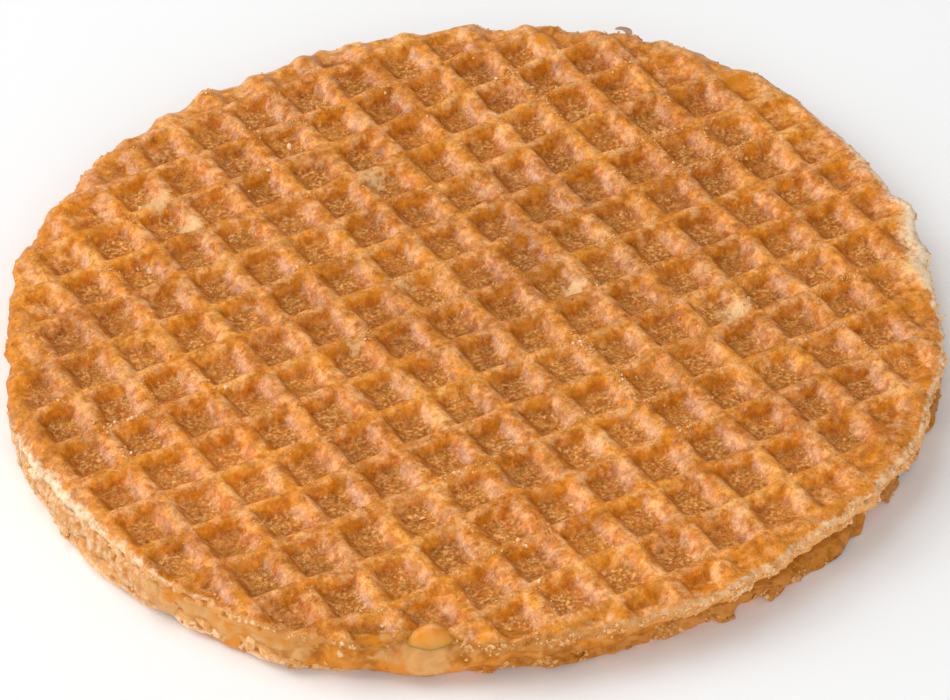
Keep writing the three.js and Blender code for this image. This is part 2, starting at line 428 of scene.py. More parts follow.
def dragged(layer, x, y, sizes):
    """Where the points of the even grid went when the wafer was pressed and cut."""
    pitch = sizes.pitch / MM
    row = (x - layer.grid[0]) / pitch - 0.5
    column = (y - layer.grid[1]) / pitch - 0.5
    i, j = np.floor(row), np.floor(column)
    s, t = row - i, column - j
    moved = []
    for axis, start in ((2, x), (3, y)):
        k = layer.seed + axis
        lean = 0.0
        for next_i, next_j in ((0, 0), (1, 0), (0, 1), (1, 1)):
            own = sway(i + next_i, j + next_j, k)
            lean = lean + own * (s if next_i else 1 - s) * (t if next_j else 1 - t)
        wander = swell(x, y, 0, 3.5, k + 20) + 0.5 * swell(x, y, 0, 1.4, k + 24)
        moved.append(start + UNEVEN * lean + WANDER * wander)
    new_x, new_y = moved
    for drag in layer.drags:
        near = fade(x, y, drag)
        new_x = new_x + drag[3] * near
        new_y = new_y + drag[4] * near
    return new_x, new_y


ROUNDNESS = 1.25  # above 1 a ridge is rounder at its crest and steeper at its foot


def pocket_share(layer, x, y, sizes):
    """How deep in its pocket each point of the even grid lies: 0 on a crest to 1 on the floor.

    Also how much it is on the pocket's flank facing the key light, for painted sheen, or below 0 on the one
    across from it, for painted shade; how much on its wall facing -Y, for painted amber shade; and the
    pocket's numbers.
    """
    pitch = sizes.pitch / MM
    mouth = (pitch - sizes.crest / MM) / 2
    i = np.floor((x - layer.grid[0]) / pitch)
    j = np.floor((y - layer.grid[1]) / pitch)
    slopes = []
    offsets = []
    runs = (sizes.run_x / MM, sizes.run_y / MM)
    for value, origin, cell, run in zip((x, y), layer.grid, (i, j), runs):
        offsets.append(value - origin - (cell + 0.5) * pitch)
        straight = limited((mouth - np.abs(offsets[-1])) / run)
        slopes.append(eased(straight**ROUNDNESS))
    least = np.minimum(*slopes)
    both = slopes[0] * slopes[1]
    # The flank facing the key light gets painted sheen, the one across from it painted shade.
    flank = np.where(slopes[0] < slopes[1], 4.0 * slopes[0] * (1.0 - slopes[0]), 0.0) * np.sign(offsets[0])
    # Painted shade: the walls facing -Y, away from the key light, are given a deeper amber.
    clear = np.where(offsets[1] > 0, 4.0 * slopes[1] * (1.0 - slopes[1]), 0.0) * eased(slopes[0] * 1.3)
    flank = flank * (0.5 + draw(i, j, layer.seed + 12))
    clear = clear * (0.55 + 0.9 * draw(i, j, layer.seed + 13))
    return 0.65 * least + 0.35 * both, flank, clear, i, j


def sheet(layer, sizes):
    """One wafer's pressed face as a flat sheet cut to its rim, its lines drawn to the pockets.

    Each point keeps its place on the even grid in the attribute "even".
    """
    lines_x = grid_lines(sizes, layer.grid[0], sizes.run_x / MM)
    lines_y = grid_lines(sizes, layer.grid[1], sizes.run_y / MM)
    bm = bmesh.new()
    bmesh.ops.create_grid(bm, x_segments=len(lines_x) - 1, y_segments=len(lines_y) - 1, size=1.0)
    mesh = new_mesh("sheet", bm)
    even_y, even_x = (grid.ravel() for grid in np.meshgrid(lines_y, lines_x, indexing="ij"))
    x, y = dragged(layer, even_x, even_y, sizes)
    write_points(mesh, np.column_stack([x, y, 0 * x]))
    even = mesh.attributes.new("even", "FLOAT_VECTOR", "POINT")
    even.data.foreach_set("vector", np.column_stack([even_x, even_y, 0 * x]).astype(np.float32).ravel())
    inside, _ = layer.inside(x, y)
    bm = bmesh.new()
    bm.from_mesh(mesh)
    bpy.data.meshes.remove(mesh)
    beyond = [vert for vert, depth in zip(bm.verts, inside) if depth < 0.0]
    bmesh.ops.delete(bm, geom=beyond, context="VERTS")
    trim_to_rim(bm, layer)
    return bm


def trim_to_rim(bm, layer):
    """Drops the corners that stick out, then draws the sheet's edge out to the rim line."""
    even = bm.verts.layers.float_vector["even"]
    for _ in range(2):
        lone = [face for face in bm.faces if sum(edge.is_boundary for edge in face.edges) >= 3]
        bmesh.ops.delete(bm, geom=lone, context="FACES")
    loose = [vert for vert in bm.verts if not vert.link_faces]
    bmesh.ops.delete(bm, geom=loose, context="VERTS")
    edge = [vert for vert in bm.verts if vert.is_boundary]
    for _ in range(3):
        snap(edge, even, layer)
        near = {other for vert in edge for face in vert.link_faces for other in face.verts}
        for vert in near:
            vert[even] -= vert.co
        bmesh.ops.smooth_vert(bm, verts=list(near), factor=0.5, use_axis_x=True, use_axis_y=True)
        for vert in near:
            vert[even] += vert.co
    bmesh.ops.subdivide_edges(bm, edges=[line for line in bm.edges if line.is_boundary], cuts=1)
    snap([vert for vert in bm.verts if vert.is_boundary], even, layer)


def snap(verts, even, layer):
    """Moves points straight out or in to the rim line, and their places on the even grid with them."""
    places = np.array([vert.co[:] for vert in verts])
    _, angle = layer.polar(places[:, 0], places[:, 1])
    for vert, reach, turn in zip(verts, layer.rim(angle), angle):
        place = Vector((layer.centre[0] + reach * np.cos(turn), layer.centre[1] + reach * np.sin(turn), 0.0))
        vert[even] += place - vert.co
        vert.co = place


def add_rows(bm, rows):
    """Draws the open edge out once for each row, then closes what is open.

    The attribute "row" keeps the number of each point's row, and 0 where there was a point before.
    """
    row_of = bm.verts.layers.float.new("row")
    edges = [edge for edge in bm.edges if not edge.is_manifold]
    for row in rows:
        result = bmesh.ops.extrude_edge_only(bm, edges=edges)
        for element in result["geom"]:
            if isinstance(element, bmesh.types.BMVert):
                element[row_of] = row
        edges = [element for element in result["geom"] if isinstance(element, bmesh.types.BMEdge)]
    bmesh.ops.holes_fill(bm, edges=[edge for edge in bm.edges if edge.is_boundary], sides=0)


def piecewise(value, knots):
    places, heights = zip(*knots)
    return np.interp(value, places, heights)


RIM_ROWS = 14  # rows of a cut rim, from the face down
INNER_ROW = 99.0  # the ring where the closed inner face starts
INNER_RING = 3.0  # how far inside the rim that ring lies


def crumb_noise(x, y, z, seed):
    """The torn face of baked crumb: its lumps, about -1 to 1, and its small ragged holes, 0 to 1."""
    lumps = 0.5 * swell(x, y, z, 1.6, seed) + 0.35 * swell(x, y, z, 0.75, seed + 1)
    lumps += 0.25 * swell(x, y, z, 0.4, seed + 2)
    holes = swell(x, y, z, 0.95, seed + 3) + 0.4 * swell(x, y, z, 0.5, seed + 4)
    return lumps, eased((holes - 0.3) / 0.35)


def press_share(layer, inside, angle):
    """How much of a pocket's depth is left, near the rim."""
    band = np.maximum(layer.band + by_heading(angle, layer.bands), 0.5)
    notch = limited(layer.notch + by_heading(angle, layer.notches))
    return notch + (1.0 - notch) * eased(inside / band)


def wafer_heights(layer, even, points, sizes):
    """Height of a wafer's pressed face above its inner face, and how each point lies in its pocket."""
    share_down, flank, clear, i, j = pocket_share(layer, even[:, 0], even[:, 1], sizes)
    x, y = points[:, 0], points[:, 1]
    inside, angle = layer.inside(x, y)
    depth = sizes.depth / MM + UNEVEN * sway(i, j, layer.seed)
    sunk = share_down * press_share(layer, inside, angle)
    droop = (layer.droop + by_heading(angle, layer.droops)) * piecewise(inside, DROOP)
    uneven = swell(x, y, 0, 2.4, layer.seed + 5) + 0.7 * swell(x, y, 0, 1.1, layer.seed + 6)
    grainy = swell(x, y, 0, 0.6, layer.seed + 8) * np.clip(3.0 * sunk, 0.2, 0.9)
    face = sizes.wafer / MM - droop - sunk * depth + sizes.relief / MM * (uneven + grainy)
    return face, sunk, flank, clear, draw(i, j, layer.seed + 9)


def near_rim(inside, start, width):
    """1 out to a distance inside the rim line, then fading over a width."""
    return np.exp(-((np.maximum(inside - start, 0.0) / width) ** 2))


def spots(x, y, places):
    """The sum of soft spots over a face."""
    total = np.zeros_like(x)
    for place in places:
        total = total + place[3] * fade(x, y, place)
    return total


def rim_shape(layer, down, height, points, sizes):
    """How far each point of a cut rim lies out of its line, how rough it is there, and its holes."""
    x, y = points[:, 0], points[:, 1]
    inside, angle = layer.inside(x, y)
    rough, holes = crumb_noise(x, y, height, layer.seed + 7)
    # The tear comes in below the skin and goes out again above the inner face.
    torn = np.clip(down * 5.0, 0.25, 1.0) * np.clip((1.0 - down) * 8.0, 0.2, 1.0)
    torn = torn * (1.0 + by_heading(angle, layer.tears))
    oozing = share_by_heading(angle, OOZE)
    lean = piecewise(down, RIM_LEAN) * (1.0 - oozing)
    out = lean + sizes.crumb / MM * torn * (rough - 1.3 * holes) - 0.1 * oozing * down
    on_face = 0.25 * limited(1.0 - inside / 0.8) * sizes.crumb / MM * rough
    return out, on_face, holes * limited(torn)


def build_wafer(name, layer, sizes):
    """A whole wafer: the pressed face, the cut rim and the plain inner face, as one closed mesh.

    Its attributes tell the finish what lies where.
    """
    bm = sheet(layer, sizes)
    add_rows(bm, (*range(1, RIM_ROWS + 1), INNER_ROW))
    mesh = new_mesh(name, bm)
    points = read_points(mesh)
    even = read_vectors(mesh.attributes["even"].data, "vector")
    row = read_values(mesh, "row")
    face, sunk, flank, clear, tone = wafer_heights(layer, even, points, sizes)
    down = np.clip(row, 0, RIM_ROWS) / RIM_ROWS
    height = face * (1.0 - down)
    out, out_on_face, holes = rim_shape(layer, down, height, points, sizes)
    x, y = points[:, 0], points[:, 1]
    inside, angle = layer.inside(x, y)
    on_face = row == 0
    out = np.where(on_face, out_on_face, out)
    out = np.where(row == INNER_ROW, -INNER_RING, out)
    placed = points + np.column_stack([np.cos(angle), np.sin(angle), 0 * angle]) * out[:, None]
    placed[:, 2] = np.where(row == INNER_ROW, 0.0, height)
    edge_width = np.maximum(layer.edge + by_heading(angle, layer.edges), 0.15)
    edge = limited(1.0 - 0.5 * inside / edge_width)
    wrapped = share_by_heading(angle, layer.wraps)
    values = {
        "sunk": np.where(on_face, sunk, 0.0),
        # Where the painted sheen and, below 0, the painted shade of the flanks go, then the painted amber
        # shade of the walls facing -Y.
        "flank": np.where(on_face, flank * limited(sunk * 2.0), 0.0),
        "clear": np.where(on_face, clear * limited(sunk * 3.0), 0.0),
        "crumb": np.where(on_face, edge * (1.0 - wrapped), 1.0 - wrapped * limited(1.4 - down)),
        "brim": near_rim(inside, 0.0, 2.4) * share_by_heading(angle, BRIMS),
        "rind": near_rim(inside, 0.9, 1.2) * share_by_heading(angle, RINDS),
        # Where the cut rim's holes lie, for their painted shade.
        "hole": np.where((row > 0) & (row < INNER_ROW), holes, 0.0),
        "pale": limited(layer.pale + by_heading(angle, layer.pales) - 0.55 * down),
        "glazed": share_by_heading(angle, layer.glazes) * (1.0 - limited(inside - 0.2)),
        "tone": np.where(on_face, tone, 0.5),
        "bare": spots(x, y, layer.bares),
        "amber": spots(x, y, layer.ambers),
        "shade": spots(x, y, layer.shades),
    }
    for key, value in values.items():
        write_values(mesh, key, value)
    return mesh, placed


def lifted(points, wafer):
    """The rise and dip of the upper wafer, most at its crests."""
    rise = spots(points[:, 0], points[:, 1], LIFTS)
    return points[:, 2] + rise * points[:, 2] / wafer


def finish_piece(name, mesh, material, node=None, smooth=True):
    mesh.materials.append(material)
    if smooth:
        mesh.shade_smooth()
    piece = bpy.data.objects.new(name, mesh)
    bpy.context.scene.collection.objects.link(piece)
    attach(piece, BODY)
    if node:
        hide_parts(node)


def surface(mesh):
    """The points, the outward directions and the rows of a piece's mesh, in mm."""
    return read_points(mesh) / MM, read_vectors(mesh.vertices, "normal"), read_values(mesh, "row")


# ---- Crumbs ----

# Where the random draws of the fine crumbs, the chunks and the rim lumps start.
CRUMB_SEED, CHUNK_SEED, LUMP_SEED = 100, 200, 300


def turns(rng, count):
    """Random turns in space, one matrix each."""
    w, x, y, z = rng.normal(size=(4, count))
    size = np.sqrt(w * w + x * x + y * y + z * z)
    w, x, y, z = w / size, x / size, y / size, z / size
    rows = (
        (1 - 2 * (y * y + z * z), 2 * (x * y - z * w), 2 * (x * z + y * w)),
        (2 * (x * y + z * w), 1 - 2 * (x * x + z * z), 2 * (y * z - x * w)),
        (2 * (x * z - y * w), 2 * (y * z + x * w), 1 - 2 * (x * x + y * y)),
    )
    return np.moveaxis(np.array(rows), 2, 0)


def ball(detail):
    """A round lump's points and faces, for scatter."""
    bm = bmesh.new()
    bmesh.ops.create_icosphere(bm, subdivisions=detail, radius=1.0)
    points = np.array([vert.co[:] for vert in bm.verts])
    faces = np.array([[vert.index for vert in face.verts] for face in bm.faces])
    bm.free()
    return points[None], faces[None]


def splinters(kinds, corners, rng):
    """Angular crumbs for scatter: each the hull of a few corners on a ball, all with as many faces."""
    shapes = []
    hulls = []
    for _ in range(kinds):
        places = rng.normal(size=(corners, 3))
        places /= np.linalg.norm(places, axis=1)[:, None]
        bm = bmesh.new()
        for place in places:
            bm.verts.new(place)
        bmesh.ops.convex_hull(bm, input=list(bm.verts))
        bmesh.ops.recalc_face_normals(bm, faces=list(bm.faces))
        bm.verts.index_update()
        faces = []
        for face in bm.faces:
            ring = [vert.index for vert in face.verts]
            first = ring.index(min(ring))
            faces.append(ring[first:] + ring[:first])
        shapes.append(np.array([vert.co[:] for vert in bm.verts]))
        hulls.append(np.array(sorted(faces)))
        bm.free()
    return np.array(shapes), np.array(hulls)


def scatter(name, places, sizes, rng, stretch, shapes, rough=0.0):
    """One mesh of many crumbs of the given half sizes, each its own shape, lying at the given places."""
    corners, hulls = shapes
    count = len(places)
    kind = rng.integers(len(corners), size=count)
    lump = corners[kind]
    if rough:
        own = np.moveaxis(lump + 10.0 * np.arange(count)[:, None, None], 2, 0)
        knobs = swell(*own, 0.8, 5) + 0.5 * swell(*own, 0.4, 6)
        lump = lump * (1.0 + rough * knobs[:, :, None])
    shape = lump * rng.uniform(*stretch, (count, 1, 3)) * sizes[:, None, None]
    points = np.einsum("nij,nvj->nvi", turns(rng, count), shape) + places[:, None]
    steps = np.arange(count)[:, None, None] * corners.shape[1]
    mesh = bpy.data.meshes.new(name)
    mesh.from_pydata(points.reshape(-1, 3) * MM, [], (hulls[kind] + steps).reshape(-1, 3).tolist())
    write_values(mesh, "tone", np.repeat(rng.uniform(size=count), corners.shape[1]))
    return mesh


def pick(weights, count, rng):
    """Places drawn from a mesh's points, the heavier the more often."""
    return rng.choice(len(weights), size=count, replace=False, p=weights / weights.sum())


# ---- Finishes ----


class Nodes:
    """A short way to write a material's node tree."""

    def __init__(self, name):
        self.material = bpy.data.materials.new(name)
        self.material.use_nodes = True
        self.tree = self.material.node_tree
        self.shader = self.tree.nodes["Principled BSDF"]
        self.place = self.add("ShaderNodeTexCoord").outputs["Object"]

    def add(self, kind, settings=None, **inputs):
        """A node with its inputs fed by name, or by number where that is written n0, n1 and so on."""
        node = self.tree.nodes.new(kind)
        for key, value in (settings or {}).items():
            setattr(node, key, value)
        for key, value in inputs.items():
            self.feed(node, key.replace("_", " "), value)
        return node

    def feed(self, node, key, value):
        socket = node.inputs[int(key[1:])] if key[0] == "n" and key[1:].isdigit() else node.inputs[key]
        if isinstance(value, bpy.types.NodeSocket):
            self.tree.links.new(value, socket)
        elif hasattr(socket.default_value, "__len__") and len(socket.default_value) == 4 and len(value) == 3:
            socket.default_value = (*value, 1.0)
        else:
            socket.default_value = value

    def attribute(self, name):
        return self.add("ShaderNodeAttribute", {"attribute_name": name}).outputs["Fac"]

    def noise(self, size, detail=2.0, roughness=0.5, warp=0.0, drawn_out=None):
        """Noise with features about size metres across, longer where drawn_out is below 1."""
        place = self.place
        if drawn_out:
            place = self.add("ShaderNodeMapping", Vector=self.place, Scale=drawn_out).outputs["Vector"]
        node = self.add(
            "ShaderNodeTexNoise", Vector=place, Scale=1.0 / size, Detail=detail, Roughness=roughness,
            Distortion=warp,
        )
        return node.outputs["Fac"]

    def specks(self, size, shown, reach):
        """1 on specks scattered about size metres apart, the share of them that is shown, 0 elsewhere."""
        cells = self.add("ShaderNodeTexVoronoi", Vector=self.place, Scale=1.0 / size)
        lot = self.add("ShaderNodeSeparateColor", Color=cells.outputs["Color"]).outputs[0]
        chosen = self.maths("LESS_THAN", lot, shown)
        return self.times(chosen, self.ranged(cells.outputs["Distance"], reach * 0.6, reach, 1.0, 0.0))

    def ranged(self, value, low, high, to_low=0.0, to_high=1.0):
        """value from low to high turned into to_low to to_high, and held at the ends."""
        node = self.add("ShaderNodeMapRange", n0=value, n1=low, n2=high, n3=to_low, n4=to_high)
        return node.outputs["Result"]

    def maths(self, operation, first, second):
        return self.add("ShaderNodeMath", {"operation": operation}, n0=first, n1=second).outputs[0]

    def times(self, first, second):
        return self.maths("MULTIPLY", first, second)

    def plus(self, first, second):
        return self.maths("ADD", first, second)

    def summed(self, *parts):
        """The sum of values, each times its weight."""
        total = 0.0
        for value, weight in parts:
            total = self.plus(total, self.times(value, weight))
        return total

    def blend(self, share_of, first, second, kind="MIX"):
        settings = {"data_type": "RGBA", "blend_type": kind, "clamp_result": kind == "ADD"}
        return self.add("ShaderNodeMix", settings, n0=share_of, n6=first, n7=second).outputs[2]

    def over(self, base, coat, value, low, high, least=0.0, most=1.0):
        """A coat of colour over another: from least to most of it, where value runs from low to high."""
        return self.blend(self.ranged(value, low, high, least, most), base, coat)

    def bump(self, height, distance, strength):
        node = self.add("ShaderNodeBump", Height=height, Distance=distance, Strength=strength)
        return node.outputs["Normal"]

    def finish(self, base, roughness, normal, **fixed):
        fixed |= {"Base Color": base, "Roughness": roughness, "Normal": normal, "Coat Normal": normal}
        for key, value in fixed.items():
            self.feed(self.shader, key.replace("_", " "), value)
        return self.material


# Each coat of a finish follows a noise or one of the mesh's attributes, whose names say what lies there.
# Its numbers are the values of that between which it comes in, and then its least and its most share.


def browned(n, colours):
    """The skin from its crests down its walls, with painted shade, and how dry and rough it is."""
    # Amber patches at random, deepened on the walls facing -Y as painted shade, and fewer on the lit flank.
    clear = n.summed((n.noise(2.3 * MM, 4.0, 0.6, 0.4), 1.0), (n.attribute("clear"), 0.13), (n.flank, -0.05))
    amber = n.ranged(clear, 0.49, 0.65, 0.0, 0.85)
    rough = n.ranged(amber, 0.0, 0.85, 1.0, 0.4)
    uneven = n.summed((n.streak, 0.2), (n.mottle, 0.5), (n.patch, 0.3))
    yellow = n.times(n.ranged(n.wide, 0.42, 0.62), n.ranged(n.tone, 0.3, 0.9, 0.3, 0.9))
    # Painted shade: darker brown down the walls' feet, in the pockets' corners.
    foot = n.times(n.ranged(n.sunk, 0.4, 0.8), n.ranged(n.mottle, 0.35, 0.6, 0.75, 0.3))
    # Painted shade on the flank that faces away from the key light.
    painted_lee_shade = n.times(n.ranged(n.flank, 0.0, -1.0), 0.65)
    dry = n.times(n.ranged(uneven, 0.5, 0.62, 0.0, 0.5), rough)
    skin = n.over(colours.crest, colours.wall, n.sunk, 0.0, 0.5)
    skin = n.over(skin, colours.blush, n.patch, 0.46, 0.62, 0.0, 0.65)
    skin = n.blend(yellow, skin, colours.straw)
    skin = n.over(skin, colours.straw, n.mottle, 0.5, 0.66, 0.0, 0.6)
    # Amber patches, with painted shade on the walls facing -Y.
    skin = n.blend(amber, skin, colours.rich)
    # Painted shade at the walls' feet.
    skin = n.blend(foot, skin, colours.burnt_and_foot_shade)
    # Painted shade on the flank away from the key light.
    skin = n.blend(painted_lee_shade, skin, colours.deep_and_lee_shade)
    skin = n.over(skin, colours.dry, clear, 0.5, 0.36, 0.0, 0.55)
    skin = n.blend(dry, skin, colours.dry)
    return n.over(skin, colours.deep_and_lee_shade, uneven, 0.5, 0.4, 0.0, 0.7), rough


def banded(n, colours, skin):
    """Paler and richer skin along the rim."""
    brim = n.times(n.attribute("brim"), n.ranged(n.mottle, 0.35, 0.65, 0.3, 0.75))
    skin = n.blend(brim, skin, n.over(colours.straw, colours.dry, n.patch, 0.4, 0.6))
    rind = n.times(n.attribute("rind"), n.ranged(n.mottle, 0.35, 0.6, 0.5, 0.9))
    return n.blend(rind, skin, colours.rich)


def floored(n, colours, skin):
    """The brown grainy floors of the pockets."""
    floor = n.over(colours.floor, colours.olive, n.mottle, 0.4, 0.6)
    floor = n.over(floor, colours.burnt_and_foot_shade, n.grain, 0.32, 0.46, 0.4, 0.0)
    flecks = n.times(n.ranged(n.grain, 0.52, 0.64), n.ranged(n.patch, 0.4, 0.6, 0.15, 0.8))
    floor = n.blend(flecks, floor, colours.grain)
    here = n.times(n.ranged(n.sunk, 0.72, 0.97), n.ranged(n.tone, 0.0, 0.6, 0.75, 1.0))
    return n.blend(here, skin, floor)


def sheen_and_specks(n, colours, skin, rough):
    """Painted sheen on the lit flank, and small grains, most there and on the floors, as painted glints on
    the flank.
    """
    lit_flank = n.ranged(n.flank, 0.0, 1.4, 0.0, 1.4)
    sheen_patches = n.times(n.ranged(n.noise(1.8 * MM), 0.4, 0.56), n.ranged(n.streak, 0.36, 0.56, 0.6, 1.0))
    lit = n.summed((lit_flank, 0.6), (n.ranged(n.sunk, 0.0, 0.25, 1.0, 0.0), 0.05))
    # Painted sheen: a paler pinkish coat on the flanks facing the key light, and a little on the crests.
    skin = n.blend(n.times(sheen_patches, lit), skin, colours.painted_sheen)
    # The smallest pale grains: real grains on the floors, painted glints on the lit flank and the crests.
    grains_and_glints = n.summed(
        (n.ranged(n.sunk, 0.5, 0.9, 0.4, 0.7), 1.0),
        (lit_flank, 0.7),
        (n.ranged(n.sunk, 0.0, 0.2, 1.0, 0.0), 0.15),
    )
    grains_and_glints = n.times(n.times(grains_and_glints, rough), n.ranged(n.mottle, 0.42, 0.6))
    return n.blend(n.times(n.specks(0.26 * MM, 0.5, 0.38), grains_and_glints), skin, colours.speck_and_glint)


def toned(n, skin, rough):
    """The skin made lighter and darker by lumps, over wide places and by its grit."""
    for value, low, high, darkest, lightest in (
        (n.noise(1.0 * MM, 4.0, 0.65, 0.3), 0.3, 0.7, 0.7, 1.27),
        (n.attribute("shade"), -1.0, 1.0, 0.0, 2.0),
        (n.wide, 0.35, 0.65, 0.9, 1.08),
    ):
        skin = n.blend(1.0, skin, n.ranged(value, low, high, darkest, lightest), "MULTIPLY")
    grit = n.summed((n.grain, 0.5), (n.fine, 0.5))
    skin = n.blend(rough, skin, n.ranged(grit, 0.35, 0.65, 0.84, 1.15), "MULTIPLY")
    return n.blend(rough, skin, n.ranged(grit, 0.35, 0.65, -0.022, 0.042), "ADD")


def cut_crumb(n, colours, glazed):
    """The crumb of a cut rim: pale to toasted, with painted shade in its holes, and glazed with syrup in
    places.
    """
    pale = n.plus(n.ranged(n.pores, 0.35, 0.65, -0.4, 0.4), n.attribute("pale"))
    cut = n.over(colours.toast, colours.cream, pale, 0.2, 0.9)
    # Painted shade in the crumb's holes.
    cut = n.over(cut, colours.olive, n.attribute("hole"), 0.1, 0.9, 0.0, 0.75)
    glaze = n.over(colours.caramel, colours.olive, n.patch, 0.4, 0.6)
    glaze = n.over(glaze, colours.burnt_and_foot_shade, n.mottle, 0.5, 0.38, 0.0, 0.7)
    return n.blend(n.times(glazed, n.ranged(n.pores, 0.35, 0.6, 1.0, 0.8)), cut, glaze)


def baked_skin(colours):
    """Browned wafer: golden crests, deeper walls, brown grainy floors, and pale crumb where it was cut."""
    n = Nodes("baked_wafer")
    n.sunk, n.tone, n.flank = (n.attribute(name) for name in ("sunk", "tone", "flank"))
    n.wide = n.noise(7.0 * MM)
    n.patch = n.noise(2.6 * MM, 3.0, 0.55, 0.3)
    n.mottle = n.noise(1.1 * MM, 3.0, 0.55, 0.2)
    n.pores = n.noise(0.7 * MM, 5.0, 0.7)
    n.streak = n.noise(0.5 * MM, 3.0, 0.6, 0.5, (1.0, 0.35, 1.0))
    n.grain = n.noise(0.38 * MM)
    n.fine = n.noise(0.2 * MM, 2.0, 0.6)
    skin, rough = browned(n, colours)
    skin = floored(n, colours, banded(n, colours, skin))
    skin = toned(n, sheen_and_specks(n, colours, skin, rough), rough)
    shifted = n.ranged(n.pores, 0.3, 0.7, -0.4, 0.4)
    skin = n.over(skin, colours.unbaked, n.plus(n.attribute("bare"), shifted), 0.35, 0.75, 0.0, 0.85)
    skin = n.over(skin, colours.honey, n.plus(n.attribute("amber"), shifted), 0.35, 0.6, 0.0, 0.85)
    glazed = n.attribute("glazed")
    crumb = n.ranged(n.plus(n.attribute("crumb"), n.times(shifted, 0.6)), 0.5, 0.85)
    base = n.blend(crumb, skin, cut_crumb(n, colours, glazed))
    gloss = n.ranged(n.mottle, 0.35, 0.65, 0.28, 0.45)
    dull = n.ranged(glazed, 0.0, 1.0, 0.8, 0.3)
    roughness = n.add("ShaderNodeMix", {"data_type": "FLOAT"}, n0=crumb, n2=gloss, n3=dull).outputs[0]
    gritty = n.times(n.summed((n.grain, 0.3), (n.streak, 0.3), (n.fine, 0.1)), rough)
    normal = n.bump(n.summed((n.mottle, 0.8), (gritty, 1.0)), 0.29 * MM, 0.8)
    return n.finish(
        base, roughness, normal, Specular_IOR_Level=0.1, Subsurface_Weight=0.12,
        Subsurface_Radius=(1.0, 0.7, 0.5), Subsurface_Scale=0.0005, Coat_Weight=0.07, Coat_Roughness=0.12,
    )


def syrup_finish(colours):
    """Glossy amber caramel, clouded and soaked into crumb here and there, and clear yellow in the drop."""
    n = Nodes("caramel_syrup")
    cloud = n.noise(2.6 * MM, 2.0, 0.5, 0.3)
    strand = n.noise(1.2 * MM, 2.0, 0.5, 0.4)
    pores = n.noise(0.7 * MM, 5.0, 0.7)
    base = n.over(colours.syrup, colours.honey, cloud, 0.4, 0.62)
    base = n.blend(n.times(n.ranged(strand, 0.5, 0.7), 0.6), base, colours.milk)
    base = n.over(base, colours.burnt_and_foot_shade, strand, 0.32, 0.44, 0.6, 0.0)
    crumb = n.over(colours.crust, colours.cream, pores, 0.45, 0.72, 0.0, 0.85)
    crumb = n.over(crumb, colours.olive, pores, 0.32, 0.46, 0.9, 0.0)
    soaked = n.plus(n.attribute("soaked"), n.ranged(strand, 0.3, 0.7, -0.3, 0.3))
    base = n.over(base, crumb, soaked, 0.3, 0.7)
    dough = n.over(colours.crust, colours.milk, strand, 0.35, 0.65)
    dough = n.over(dough, colours.honey, cloud, 0.48, 0.6, 0.0, 0.8)
    doughy = n.plus(n.attribute("doughy"), n.ranged(strand, 0.3, 0.7, -0.2, 0.2))
    base = n.over(base, dough, doughy, 0.3, 0.7)
    on_drop = n.attribute("drop")
    drop = n.over(colours.crust, colours.bead, on_drop, 0.5, 1.25)
    # Painted darker on the drop's upper half, against the strong light from above.
    drop = n.over(drop, colours.wall, on_drop, 1.2, 1.7, 0.0, 0.5)
    # Painted highlight: a thin pale line along the drop's top edge.
    drop = n.over(drop, colours.dry, on_drop, 1.9, 2.0, 0.0, 0.7)
    drop = n.over(drop, colours.milk, strand, 0.35, 0.6, 0.0, 0.35)
    base = n.over(base, drop, on_drop, 0.05, 0.5)
    return n.finish(
        base, n.ranged(cloud, 0.3, 0.7, 0.2, 0.4), n.bump(pores, 0.15 * MM, 0.5), Specular_IOR_Level=0.18,
        Subsurface_Weight=0.5, Subsurface_Radius=(1.2, 0.7, 0.35), Subsurface_Scale=0.001,
    )


def crumb_finish(name, dark, light, roughness=0.5, **fixed):
    """Crumb, each its own tone between two colours, mottled."""
    n = Nodes(name)
    tone = n.plus(n.attribute("tone"), n.ranged(n.noise(0.7 * MM, 4.0, 0.65), 0.3, 0.7, -0.5, 0.5))
    normal = n.bump(n.noise(0.3 * MM, 3.0, 0.6), 0.1 * MM, 0.7)
    return n.finish(n.over(dark, light, tone, 0.0, 1.0), roughness, normal, **fixed)


# ---- Operators ----


class BISCUIT_OT_wafers(Operator):
    """Make the two pressed wafers"""

    bl_idname = "biscuit.make_wafers"
    bl_label = "Wafers"

    def execute(self, context):
        sizes = context.scene.biscuit_sizes
        wafer = sizes.wafer / MM
        skin = baked_skin(context.scene.biscuit_colours)
        mesh, points = build_wafer("wafer_top", UPPER, sizes)
        points[:, 2] = lifted(points, wafer) + (2 * GAP + (sizes.wafer + sizes.syrup) / MM)
        write_points(mesh, points * MM)
        finish_piece("upper_wafer", mesh, skin, "wafer_top")
        mesh, points = build_wafer("wafer_bottom", LOWER, sizes)
        points[:, 2] = np.maximum(wafer - points[:, 2], 0.0)
        write_points(mesh, points * MM)
        mesh.flip_normals()
        finish_piece("lower_wafer", mesh, skin, "wafer_bottom")
        return {"FINISHED"}


# Bigger crumbs on the upper wafer: x, y and half their size.
CHUNKS = (
    (-1.9, 35.1, 0.36), (4.1, 39.1, 0.32), (-24.0, 23.9, 0.4), (-20.6, 32.1, 0.36), (-24.9, 24.6, 0.2),
)


